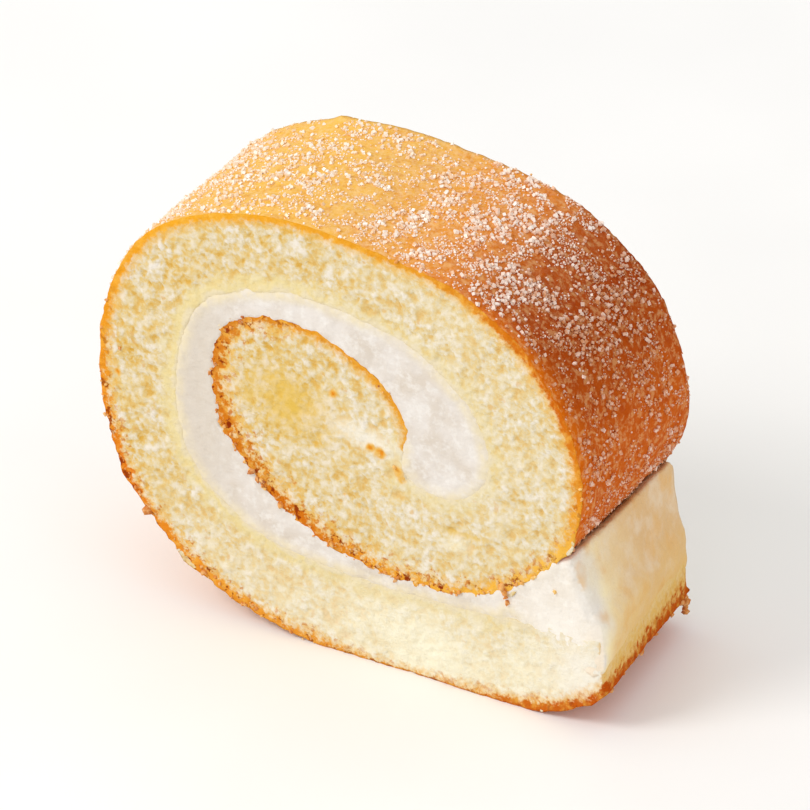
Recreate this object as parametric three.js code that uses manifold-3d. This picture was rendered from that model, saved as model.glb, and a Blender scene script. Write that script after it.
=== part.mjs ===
// A slice of Swiss roll: one sheet of sponge rolled round a cream filling, cut straight across and standing
// on its crust. Millimetres, +Z up. The two cut faces look along -Y and +Y, and the loose end of the sheet
// points along +X. The origin is on the table, below the middle of the slice.
import * as THREE from "three";
import { mergeVertices } from "three/addons/utils/BufferGeometryUtils.js";
import Module from "manifold-3d";

const { clamp, degToRad, lerp, smoothstep } = THREE.MathUtils;
const wasm = await Module();
wasm.setup();

// The spiral. A turn angle runs clockwise, seen from -Y, from the lower corner of the loose end round the
// bottom, the left, the top and the right, and once more inside that, to the tip in the middle.
const SLICE_THICKNESS = 30;
const ROLL_CENTRE = new THREE.Vector2(-0.2, 34.2); // x and z
const LOOSE_END_BEARING = -35; // degrees from +X at which the centre sees the loose end's lower corner
const TIP_TURN = 667; // degrees, where the crust ends in the middle of the roll
const FLAP_TURN = 14; // the sheet's inner side starts here, behind the loose end's cut
const POCKET_TURN = 392; // the sheet's inner side meets the tip's layer here, and the two are one beyond it
const STEP_TURN = 340; // the roll leaves the flap here, and the filling shows at the side
const REACH_STEP = 30;
const CRUST_REACH = [
  49.4, 38.6, 34.7, 36.4, 39.1, 40.0, 40.1, 35.2, 32.0, 34.2, 36.7, 35.8,
  29.0, 21.7, 18.1, 17.3, 18.8, 22.0, 23.4, 18.5, 13.8, 11.8, 10.4, 7.4,
]; // from the centre to the crust, every 30 degrees of turn
const DEPTH_STEP = 40;
const SHEET_DEPTH = [
  13.5, 14.2, 13.2, 12.4, 12.6, 12.1, 11.8, 14.2, 14.9, 14.8, 17.0, 17.6,
]; // from the crust to the filling, every 40 degrees of turn

// Corners of the section that the turn angle doesn't reach, as x and z.
const FLAP_TOP = [39.5, 15.4]; // the loose end's upper corner
const POCKET_CORNERS = [[8.6, 32.2], [8.3, 34.6]]; // where the tip's layer meets the one below it
const FILLET = [[39.4, 15.8], [38.4, 18.2], [37.0, 21.6], [34.5, 26.2]]; // the filling's open side, upwards
const FILLING_GAP = 0.3;

// The flap's end is cut askew: at the back face it lies this far short of the front one. The skew starts at
// SKEW_FROM, as x and z, and is whole at SKEW_FULL.
const END_SKEW = 3.5;
const SKEW_FROM = new THREE.Vector2(32, 30.5);
const SKEW_FULL = new THREE.Vector2(39.5, 21.5);

// The soft unevenness of the baked side, and crags of torn crust where it meets a cut face. A crag's side is
// -1 at the front face and 1 at the back, and it fades inwards over CRAG_FADE.
const CRUST_WAVE = { height: 0.35, length: 11, seed: 1 };
const CRUST_GRAIN = { height: 0.1, length: 1, seed: 2 };
const CRAG_FADE = 2.5;
const CRAGS = [
  { turn: 99, side: -1, height: 0.8, width: 1.7 },
  { turn: 121, side: -1, height: 0.7, width: 1.9 },
  { turn: 335, side: -1, height: 0.6, width: 2.0 },
  { turn: 357, side: -1, height: 1.3, width: 1.5 },
  { turn: 496, side: -1, height: 1.3, width: 1.8 },
  { turn: 538, side: -1, height: 0.7, width: 1.8 },
  { turn: 74, side: 1, height: 0.8, width: 1.9 },
  { turn: 205, side: 1, height: 0.6, width: 2.2 },
  { turn: 470, side: 1, height: 1.1, width: 1.8 },
];

// Walls: the spacing of points along the section, and the places along Y that get a section. The first and
// last lie outside the slice, where the cut faces trim them off.
const WALL_PITCH = 2.2;
const SECTIONS = [-17, -14, -10.5, 0, 10.5, 14, 17];
const MERGE_WITHIN = 1e-4;

// Cut faces: open crumb on the sponge, long smears on the filling, which sinks a little.
const FACE_BLOCK = { width: 96, height: 84, below: 8 };
const CRUMB = { pitch: 2.3, low: -0.18, high: 0.12, seed: 3 };
const SMEAR = { pitch: 2.6, height: 0.22, length: 7, sink: 0.15, seed: 5 };

const SPONGE_LOOK = { color: 0xf1dfa6, roughness: 0.9, metalness: 0 };
const CREAM_LOOK = { color: 0xf6f1ea, roughness: 0.6, metalness: 0 };

// A repeatable number from 0 to 1 for each point of a whole-number lattice: an integer hash.
function lattice(i, j, seed) {
  let h = Math.imul(i + 1013, 374761393) ^ Math.imul(j + 1619, 668265263) ^ Math.imul(seed + 31, 2246822519);
  h = Math.imul(h ^ (h >>> 13), 1274126177);
  return ((h ^ (h >>> 16)) >>> 0) / 2 ** 32;
}

// Smooth noise from -1 to 1 with features about one unit across.
function noise(u, v, seed) {
  const i = Math.floor(u);
  const j = Math.floor(v);
  const a = smoothstep(u - i, 0, 1);
  const b = smoothstep(v - j, 0, 1);
  const low = lerp(lattice(i, j, seed), lattice(i + 1, j, seed), a);
  const high = lerp(lattice(i, j + 1, seed), lattice(i + 1, j + 1, seed), a);
  return 2 * lerp(low, high, b) - 1;
}

// The value of a table at a place between its entries, by a Catmull-Rom curve.
function along(table, place) {
  const last = table.length - 1;
  const i = clamp(Math.floor(place), 0, last - 1);
  const f = place - i;
  const [a, b, c, d] = [i - 1, i, i + 1, i + 2].map((k) => table[clamp(k, 0, last)]);
  return 0.5 * (2 * b + (c - a) * f + (2 * a - 5 * b + 4 * c - d) * f * f + (3 * b - a - 3 * c + d) * f ** 3);
}

const crustReach = (turn) => along(CRUST_REACH, turn / REACH_STEP);

function crustPoint(turn) {
  const bearing = degToRad(LOOSE_END_BEARING - turn);
  return new THREE.Vector2(Math.cos(bearing), Math.sin(bearing)).multiplyScalar(crustReach(turn)).add(ROLL_CENTRE);
}

// The direction from the crust into the sheet.
function inward(turn) {
  const forward = crustPoint(turn + 1).sub(crustPoint(turn - 1)).normalize();
  return new THREE.Vector2(forward.y, -forward.x);
}

// How far the crust stands out of its smooth curve at a turn angle and a place along Y.
function crustRelief(turn, y) {
  const run = degToRad(turn) * crustReach(turn);
  let out = 0;
  for (const { height, length, seed } of [CRUST_WAVE, CRUST_GRAIN]) {
    out += height * noise(run / length, y / length, seed);
  }
  for (const { turn: at, side, height, width } of CRAGS) {
    const beside = (degToRad(turn - at) * crustReach(turn)) / width;
    const inside = Math.max(SLICE_THICKNESS / 2 - side * y, 0) / CRAG_FADE;
    out += height * Math.exp(-beside * beside - inside);
  }
  return out;
}

// A point on the crust, or gap outside it.
function crustAt(turn, y, gap = 0) {
  return crustPoint(turn).addScaledVector(inward(turn), -crustRelief(turn, y) - gap);
}

// A point on the sheet's inner side, or gap past it, into the filling.
function innerAt(turn, gap = 0) {
  return crustPoint(turn).addScaledVector(inward(turn), along(SHEET_DEPTH, turn / DEPTH_STEP) + gap);
}

// Turn angles from one end to the other, about WALL_PITCH apart on the curve that pointAt follows.
function turns(from, to, pointAt) {
  const sign = Math.sign(to - from);
  const lengths = [0];
  for (let turn = from; turn !== to; turn += sign) {
    lengths.push(lengths.at(-1) + pointAt(turn).distanceTo(pointAt(turn + sign)));
  }
  const length = lengths.at(-1);
  const count = Math.ceil(length / WALL_PITCH);
  return Array.from({ length: count + 1 }, (_, k) => {
    const wanted = (length * k) / count;
    const i = clamp(lengths.findIndex((reached) => reached >= wanted), 1, lengths.length - 1);
    return from + sign * (i - (lengths[i] - wanted) / (lengths[i] - lengths[i - 1]));
  });
}

// Moves the flap's end by its skew, and flattens what would lie below the table.
function settle(point, y) {
  const outer = smoothstep(point.x, SKEW_FROM.x, SKEW_FULL.x);
  const lower = 1 - smoothstep(point.y, SKEW_FULL.y, SKEW_FROM.y);
  const back = y / SLICE_THICKNESS + 0.5;
  return new THREE.Vector2(point.x - END_SKEW * outer * lower * back, Math.max(point.y, 0));
}

const corner = ([x, z]) => new THREE.Vector2(x, z);
const crustTurns = turns(0, TIP_TURN, crustPoint);
const innerTurns = turns(POCKET_TURN, FLAP_TURN, innerAt);

// The sheet's section at a place along Y, clockwise seen from -Y: along the crust to the tip, then back along
// the inner side.
function spongeSection(y) {
  return [
    ...crustTurns.map((turn) => crustAt(turn, y)),
    ...POCKET_CORNERS.toReversed().map(corner),
    ...innerTurns.map((turn) => innerAt(turn)),
    corner(FLAP_TOP),
  ].map((point) => settle(point, y));
}

// The filling's section: from the tip out along the crust of the inner turn, down the open side, and back in
// along the sheet's inner side.
function creamSection(y) {
  const rolled = crustTurns.filter((turn) => turn >= STEP_TURN).toReversed();
  return [
    ...rolled.map((turn) => crustAt(turn, y, FILLING_GAP)),
    ...FILLET.toReversed().map(corner),
    ...innerTurns.slice(1).toReversed().map((turn) => innerAt(turn, FILLING_GAP)),
    ...POCKET_CORNERS.map(([x, z]) => corner([x + FILLING_GAP, z])),
  ].map((point) => settle(point, y));
}

// A closed surface through the sections, which all have the same number of points.
function loft(sectionAt) {
  const rings = SECTIONS.map(sectionAt);
  const count = rings[0].length;
  const positions = rings.flatMap((ring, k) => ring.flatMap((point) => [point.x, SECTIONS[k], point.y]));
  const faces = [];
  for (let k = 0; k < rings.length - 1; k++) {
    for (let i = 0; i < count; i++) {
      const a = k * count + i;
      const b = k * count + ((i + 1) % count);
      faces.push(a, b, b + count, a, b + count, a + count);
    }
  }
  const last = (rings.length - 1) * count;
  for (const [a, b, c] of THREE.ShapeUtils.triangulateShape(rings[0], [])) {
    faces.push(a, b, c);
  }
  for (const [a, b, c] of THREE.ShapeUtils.triangulateShape(rings.at(-1), [])) {
    faces.push(last + c, last + b, last + a);
  }
  const geometry = new THREE.BufferGeometry();
  geometry.setAttribute("position", new THREE.Float32BufferAttribute(positions, 3));
  geometry.setIndex(faces);
  return geometry;
}

// A block as thick as the slice, whose faces along Y are a grid that relief(x, z, side) moves outwards.
function faceBlock(pitch, relief) {
  const { width, height, below } = FACE_BLOCK;
  const [columns, rows] = [width, height].map((size) => Math.round(size / pitch));
  const block = new THREE.BoxGeometry(width, SLICE_THICKNESS, height, columns, 1, rows);
  block.translate(0, 0, height / 2 - below);
  const place = block.getAttribute("position");
  for (let i = 0; i < place.count; i++) {
    const side = Math.sign(place.getY(i));
    place.setY(i, place.getY(i) + side * relief(place.getX(i), place.getZ(i), side));
  }
  return block;
}

function solid(geometry) {
  geometry.deleteAttribute("normal");
  geometry.deleteAttribute("uv");
  const merged = mergeVertices(geometry, MERGE_WITHIN);
  return new wasm.Manifold(
    new wasm.Mesh({
      numProp: 3,
      vertProperties: merged.getAttribute("position").array,
      triVerts: new Uint32Array(merged.getIndex().array),
    }),
  );
}

function named(name, shape, look) {
  const { vertProperties, triVerts } = shape.getMesh();
  const geometry = new THREE.BufferGeometry();
  geometry.setAttribute("position", new THREE.BufferAttribute(vertProperties, 3));
  geometry.setIndex(new THREE.BufferAttribute(triVerts, 1));
  geometry.computeVertexNormals();
  const mesh = new THREE.Mesh(geometry, new THREE.MeshStandardMaterial(look));
  mesh.name = name;
  return mesh;
}

// The sheet of sponge: baked crust outside, crumb at the cuts.
function makeSponge() {
  const { pitch, low, high, seed } = CRUMB;
  const micron = (size) => Math.round(1000 * size);
  const crumb = (x, z, side) => lerp(low, high, lattice(micron(x), micron(z), seed + side));
  const shape = solid(loft(spongeSection)).intersect(solid(faceBlock(pitch, crumb)));
  return named("sponge", shape, SPONGE_LOOK);
}

// The filling: one whipped layer between the turns, open at the side above the flap.
function makeCream() {
  const { pitch, height, length, sink, seed } = SMEAR;
  const smear = (x, z, side) => height * noise(x / length, z / length, seed + side) - sink;
  const shape = solid(loft(creamSection)).intersect(solid(faceBlock(pitch, smear)));
  return named("cream", shape, CREAM_LOOK);
}

const slice = new THREE.Group();
slice.add(makeSponge(), makeCream());

export default slice;
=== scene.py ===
"""The looks of a slice of Swiss roll: sponge with a baked, sugared crust, rolled round whipped cream.

Lengths are millimetres in the roll's own frame, +Z up, until a mesh is made, which is in metres. The sizes of
the section are those of the CAD part, so each piece fills the solid that it stands for.
"""

import math

import bpy
import numpy as np
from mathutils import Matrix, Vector
from mathutils.geometry import delaunay_2d_cdt


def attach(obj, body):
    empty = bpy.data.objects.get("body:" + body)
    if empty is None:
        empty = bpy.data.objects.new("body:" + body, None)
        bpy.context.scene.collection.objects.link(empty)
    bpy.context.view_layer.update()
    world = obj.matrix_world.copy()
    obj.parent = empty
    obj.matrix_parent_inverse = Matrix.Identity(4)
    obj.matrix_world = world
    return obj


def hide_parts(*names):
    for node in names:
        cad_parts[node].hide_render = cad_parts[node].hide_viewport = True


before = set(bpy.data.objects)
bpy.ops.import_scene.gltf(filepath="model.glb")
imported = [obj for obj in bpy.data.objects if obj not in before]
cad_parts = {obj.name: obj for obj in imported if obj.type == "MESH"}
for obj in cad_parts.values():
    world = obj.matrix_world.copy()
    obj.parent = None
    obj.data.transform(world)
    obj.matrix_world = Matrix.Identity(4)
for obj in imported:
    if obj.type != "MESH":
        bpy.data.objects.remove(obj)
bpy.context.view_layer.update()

MM = 0.001

# -------- the section, as in the CAD part

THICKNESS = 30.0
FACE = THICKNESS / 2
ROLL_CENTRE = np.array([-0.2, 34.2])
LOOSE_END_BEARING = -35.0
TIP_TURN = 667.0
FLAP_TURN = 14.0
POCKET_TURN = 392.0
STEP_TURN = 340.0
REACH_STEP = 30.0
CRUST_REACH = np.array([
    49.4, 38.6, 34.7, 36.4, 39.1, 40.0, 40.1, 35.2, 32.0, 34.2, 36.7, 35.8,
    29.0, 21.7, 18.1, 17.3, 18.8, 22.0, 23.4, 18.5, 13.8, 11.8, 10.4, 7.4,
])
DEPTH_STEP = 40.0
SHEET_DEPTH = np.array([13.5, 14.2, 13.2, 12.4, 12.6, 12.1, 11.8, 14.2, 14.9, 14.8, 17.0, 17.6])
FLAP_TOP = (39.5, 15.4)
POCKET_CORNERS = [(8.6, 32.2), (8.3, 34.6)]
FILLET = [(39.4, 15.8), (38.4, 18.2), (37.0, 21.6), (34.5, 26.2)]
END_SKEW = 3.5
SKEW_X = (32.0, 39.5)  # where the loose end's skew starts, and is whole
SKEW_Z = (21.5, 30.5)  # where it is whole, and ends
CRUST_WAVES = [(0.35, 11.0, 1), (0.1, 1.0, 2)]  # height, length, seed
CRAG_FADE = 2.5
CRAGS = [  # turn, side, height, width
    (99, -1, 0.8, 1.7), (121, -1, 0.7, 1.9), (335, -1, 0.6, 2.0), (357, -1, 1.3, 1.5), (496, -1, 1.3, 1.8),
    (538, -1, 0.7, 1.8), (74, 1, 0.8, 1.9), (205, 1, 0.6, 2.2), (470, 1, 1.1, 1.8),
]

rng = np.random.default_rng(7)

# -------- noise


def lattice(i, j, seed):
    """A number from 0 to 1 for each point of a whole-number lattice, by the CAD part's hash."""
    i, j = np.asarray(i, np.int64), np.asarray(j, np.int64)
    low = np.uint64(0xFFFFFFFF)
    h = ((i + 1013) * 374761393).astype(np.uint64) ^ ((j + 1619) * 668265263).astype(np.uint64)
    h = (h ^ np.uint64((seed + 31) * 2246822519)) & low
    h = ((h ^ (h >> np.uint64(13))) * np.uint64(1274126177)) & low
    return ((h ^ (h >> np.uint64(16))) & low).astype(float) / 2**32


def smoothstep(x, low, high):
    t = np.clip((x - low) / (high - low), 0, 1)
    return t * t * (3 - 2 * t)


def noise(u, v, seed):
    """Smooth noise from -1 to 1 with features about one unit across."""
    i, j = np.floor(u), np.floor(v)
    a, b = smoothstep(u - i, 0, 1), smoothstep(v - j, 0, 1)
    low = lattice(i, j, seed) * (1 - a) + lattice(i + 1, j, seed) * a
    high = lattice(i, j + 1, seed) * (1 - a) + lattice(i + 1, j + 1, seed) * a
    return 2 * (low * (1 - b) + high * b) - 1


def patchy(points, size, seed, layers=3):
    """Noise over flat points, with features of that size, or of one size each way, and with finer layers on top,
    each half as strong and turned to hide the lattice."""
    u, v = (points / size).T
    total, strength = 0.0, 1.0
    for k in range(layers):
        total = total + strength * noise(0.8 * u + 0.6 * v, 0.8 * v - 0.6 * u, seed + 17 * k)
        u, v, strength = 2.03 * u + 5.1, 2.03 * v + 9.7, strength / 2
    return total


def cells(u, v, seed):
    """Distance to the nearest scattered point of a unit lattice, and a number from 0 to 1 that belongs to it."""
    i, j = np.floor(u), np.floor(v)
    best, owner = np.full(np.shape(u), 9.0), np.zeros(np.shape(u))
    for di, dj in np.ndindex(3, 3):
        ci, cj = i + di - 1, j + dj - 1
        away = np.hypot(ci + lattice(ci, cj, seed) - u, cj + lattice(ci, cj, seed + 1) - v)
        closer = away < best
        best = np.where(closer, away, best)
        owner = np.where(closer, lattice(ci, cj, seed + 2), owner)
    return best, owner


# -------- the spiral's curves


def along(table, place):
    """The value of a table at places between its entries, by a Catmull-Rom curve."""
    last = len(table) - 1
    i = np.clip(np.floor(place).astype(int), 0, last - 1)
    f = place - i
    a, b, c, d = (table[np.clip(i + k, 0, last)] for k in (-1, 0, 1, 2))
    return 0.5 * (2 * b + (c - a) * f + (2 * a - 5 * b + 4 * c - d) * f**2 + (3 * b - a - 3 * c + d) * f**3)


def crust_reach(turn):
    return along(CRUST_REACH, turn / REACH_STEP)


def crust_point(turn):
    bearing = np.radians(LOOSE_END_BEARING - turn)
    return ROLL_CENTRE + crust_reach(turn)[:, None] * np.c_[np.cos(bearing), np.sin(bearing)]


def inward(turn):
    """The direction from the crust into the sheet."""
    forward = crust_point(turn + 1) - crust_point(turn - 1)
    forward /= np.linalg.norm(forward, axis=1)[:, None]
    return np.c_[forward[:, 1], -forward[:, 0]]


def inner_point(turn):
    return crust_point(turn) + inward(turn) * along(SHEET_DEPTH, turn / DEPTH_STEP)[:, None]


def crust_relief(turn, y):
    """How far the crust stands out of its smooth curve: the CAD part's waves and crags."""
    reach = crust_reach(turn)
    run = np.radians(turn) * reach
    out = sum(height * noise(run / length, y / length, seed) for height, length, seed in CRUST_WAVES)
    for at, side, height, width in CRAGS:
        beside = np.radians(turn - at) * reach / width
        inside = np.maximum(FACE - side * y, 0) / CRAG_FADE
        out = out + height * np.exp(-beside * beside - inside)
    return out


def settle(x, z, y):
    """Moves the flap's end by its skew, and flattens what would lie below the table."""
    skew = END_SKEW * smoothstep(x, *SKEW_X) * (1 - smoothstep(z, *SKEW_Z))
    return x - skew * (y / THICKNESS + 0.5), np.maximum(z, 0)


def even_turns(first, last, point_at):
    """Turn angles from first to last, evenly spaced along the curve that point_at follows."""
    fine = np.linspace(first, last, 4000)
    steps = np.linalg.norm(np.diff(point_at(fine), axis=0), axis=1)
    length = np.r_[0, np.cumsum(steps)]
    return np.interp(np.linspace(0, length[-1], math.ceil(length[-1] / OUTLINE_PITCH) + 1), length, fine)


# -------- outlines: a section as a ring of stations

CRUST, CUT, SPREAD, HIDDEN = range(4)  # what a stretch of wall shows: baked crust, a cut, filling, or nothing
OUTLINE_PITCH = 0.45
FAR = 10.0  # a distance past which a rim or a moist edge no longer shows
SAME_STATION = 0.05  # a ring whose ends are closer than this has one station there


class Outline:
    """A section's stations, clockwise seen from -Y. Each has its smooth place, the turn angle whose relief it
    follows, how much of that relief it takes, and in which direction."""

    def __init__(self):
        self.parts = []

    def curve(self, kind, first, last, shift=0.0, inner=False):
        """A stretch of the crust, or of the sheet's inner side, moved into the sheet by shift."""
        follow = inner_point if inner else crust_point
        turn = even_turns(first, last, follow)
        place = follow(turn) + (-shift if inner else shift) * inward(turn)
        lift = np.full(len(turn), float(not inner))
        self.parts.append((np.full(len(turn), kind), place, turn, lift, -inward(turn)))

    def line(self, kind, points, turn=0.0, lift=(0.0, 0.0)):
        """Straight stretches from the last station on through the points."""
        corners = np.array([self.parts[-1][1][-1], *points])
        steps = np.linalg.norm(np.diff(corners, axis=0), axis=1)
        reached = np.r_[0, np.cumsum(steps)]
        at = np.unique(np.r_[reached, np.arange(0, reached[-1], OUTLINE_PITCH)])
        at = at[np.r_[True, (np.diff(at) > 0.3 * OUTLINE_PITCH) | np.isin(at[1:], reached)]]
        place = np.stack([np.interp(at, reached, column) for column in corners.T], axis=1)
        turns = np.full(len(at), float(turn))
        lifts = np.interp(at, [0, reached[-1]], lift)
        self.parts.append((np.full(len(at), kind), place, turns, lifts, -inward(turns)))

    def close(self):
        """Joins the stretches to a ring, and works out the distance run along it and which way is out."""
        parts = [self.parts[0], *([values[1:] for values in part] for part in self.parts[1:])]
        joined = [np.concatenate(values) for values in zip(*parts)]
        if np.linalg.norm(joined[1][0] - joined[1][-1]) < SAME_STATION:
            joined = [values[:-1] for values in joined]
        self.kind, self.place, self.turn, self.lift, self.direction = joined
        ahead = np.roll(self.place, -1, axis=0)
        steps = np.linalg.norm(ahead - self.place, axis=1)
        self.run = np.r_[0, np.cumsum(steps)]
        self.length = self.run[-1]
        self.stretch = np.roll(self.kind, -1)  # the kind of wall from each station to the next
        tangent = ahead - np.roll(self.place, 1, axis=0)
        tangent /= np.linalg.norm(tangent, axis=1)[:, None]
        self.out = np.c_[-tangent[:, 1], tangent[:, 0]]
        table = np.c_[self.place, self.turn, self.lift, self.direction, self.out]
        self.table = np.concatenate([table, table[:1]])
        return self

    def at(self, run):
        """Place, turn, lift, direction and outward normal at distances along the ring."""
        found = np.stack([np.interp(run, self.run, column) for column in self.table.T], axis=1)
        return found[:, :2], found[:, 2], found[:, 3], found[:, 4:6], found[:, 6:]

    def kind_at(self, run):
        return self.stretch[np.clip(np.searchsorted(self.run, run, side="right") - 1, 0, len(self.stretch) - 1)]


def sponge_outline():
    ring = Outline()
    ring.curve(CRUST, 0, STEP_TURN)
    ring.curve(HIDDEN, STEP_TURN, TIP_TURN)
    ring.line(HIDDEN, [POCKET_CORNERS[1]], turn=TIP_TURN, lift=(1, 0))
    ring.line(HIDDEN, [POCKET_CORNERS[0], inner_point(np.array([POCKET_TURN]))[0]])
    ring.curve(HIDDEN, POCKET_TURN, FLAP_TURN, inner=True)
    ring.line(HIDDEN, [FLAP_TOP])
    ring.line(CUT, [crust_point(np.array([0.0]))[0]], lift=(0, 1))
    return ring.close()


CREAM_LAP = 0.8  # how far the filling runs on over the crust beside it, where the CAD part keeps a gap
INNER_LAP = 1.3  # and over the crumb on its other side
SMEARED_END = [(39.85, 15.7), (40.1, 14.0), (40.12, 12.2), (39.75, 9.4)]  # drawn down over the loose end's cut
UNDER_SMEAR = [(38.4, 8.6), (34.6, 10.2)]
FLAP_LAP = 2.0  # degrees of turn past FLAP_TURN, where the filling starts to follow the sheet's inner side
POCKET_LAP = 4.0  # and short of POCKET_TURN, where it stops


def cream_outline():
    ring = Outline()
    ring.curve(HIDDEN, TIP_TURN, STEP_TURN, shift=CREAM_LAP)
    ring.line(SPREAD, FILLET[:0:-1], turn=STEP_TURN, lift=(1, 0))
    ring.line(SPREAD, SMEARED_END)
    ring.line(HIDDEN, [*UNDER_SMEAR, inner_point(np.array([FLAP_TURN + FLAP_LAP]))[0]])
    ring.curve(HIDDEN, FLAP_TURN + FLAP_LAP, POCKET_TURN - POCKET_LAP, shift=INNER_LAP, inner=True)
    ring.line(HIDDEN, [(x - INNER_LAP, z) for x, z in POCKET_CORNERS])
    ring.line(HIDDEN, [ring.parts[0][1][0]], turn=TIP_TURN, lift=(0, 1))
    return ring.close()


# -------- dense closed meshes

ROW_STEP = 0.87  # of a triangular lattice's pitch
SHAKE = 0.22  # of its pitch
CLEAR_OF_RIM = 0.45  # how far a cut face's points stay from its rim, of their pitch
NOT_ON_WALL = -1.0  # the run of a point inside a cut face
CHUNK = 4000  # points that are compared with a ring at a time


def scattered(low, high, pitch):
    """Points about one pitch apart over a rectangle: a triangular lattice, shaken."""
    rows = np.arange(low[1], high[1], pitch * ROW_STEP)
    columns = np.arange(low[0], high[0], pitch)
    u, v = np.meshgrid(columns, rows)
    u = u + (np.arange(len(rows)) % 2)[:, None] * pitch / 2
    points = np.c_[u.ravel(), v.ravel()]
    return points + rng.uniform(-SHAKE, SHAKE, points.shape) * pitch


def in_chunks(points):
    return np.split(points, range(CHUNK, len(points), CHUNK))


def nearest(points, targets):
    """For each point the index of the nearest target, and the distance to it."""
    square = (targets**2).sum(axis=1)
    found = []
    for part in in_chunks(points):
        away = (part**2).sum(axis=1)[:, None] - 2 * part @ targets.T + square
        best = away.argmin(axis=1)
        found.append((best, np.sqrt(np.maximum(away[np.arange(len(part)), best], 0))))
    return [np.concatenate(values) for values in zip(*found)]


def within(points, ring):
    """Which points lie inside a closed ring, by the even-odd rule."""
    ahead = np.roll(ring, -1, axis=0)
    rise = ahead[:, 1] - ring[:, 1]
    slope = (ahead[:, 0] - ring[:, 0]) / np.where(rise == 0, 1e-12, rise)
    inside = []
    for part in in_chunks(points):
        x, z = part[:, :1], part[:, 1:]
        crossed = ((ring[:, 1] > z) != (ahead[:, 1] > z)) & (x < ring[:, 0] + (z - ring[:, 1]) * slope)
        inside.append(crossed.sum(axis=1) % 2 == 1)
    return np.concatenate(inside)


def triangulated(points, ring):
    """Triangles, anticlockwise, over the points inside the closed ring of point indices."""
    edges = [(int(a), int(b)) for a, b in zip(ring, np.roll(ring, -1))]
    vectors = [Vector(p) for p in points]
    places, _, faces, origins, _, _ = delaunay_2d_cdt(vectors, edges, [], 1, 1e-7)
    source = np.array([origin[0] for origin in origins])
    if len(places) != len(points):
        raise ValueError(f"the ring crosses itself: {len(points)} points became {len(places)}")
    faces = source[np.array(faces)]
    a, b, c = (points[faces[:, k]] for k in range(3))
    turned = (b[:, 0] - a[:, 0]) * (c[:, 1] - a[:, 1]) - (b[:, 1] - a[:, 1]) * (c[:, 0] - a[:, 0]) < 0
    faces[turned] = faces[turned][:, ::-1]
    return faces


def triangle_mesh(name, points, faces, material, smooth, attributes, face_attributes=()):
    """An object from points in mm, with attributes that hold a number for each vertex or for each face."""
    mesh = bpy.data.meshes.new(name)
    mesh.from_pydata(points * MM, [], faces, shade_flat=not smooth)
    for domain, numbers in (("POINT", attributes), ("FACE", face_attributes)):
        for key, values in dict(numbers).items():
            mesh.attributes.new(key, "FLOAT", domain).data.foreach_set("value", values.astype(np.float32))
    mesh.materials.append(material)
    mesh.validate(clean_customdata=False)
    piece = bpy.data.objects.new(name, mesh)
    bpy.context.collection.objects.link(piece)
    return piece


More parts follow.
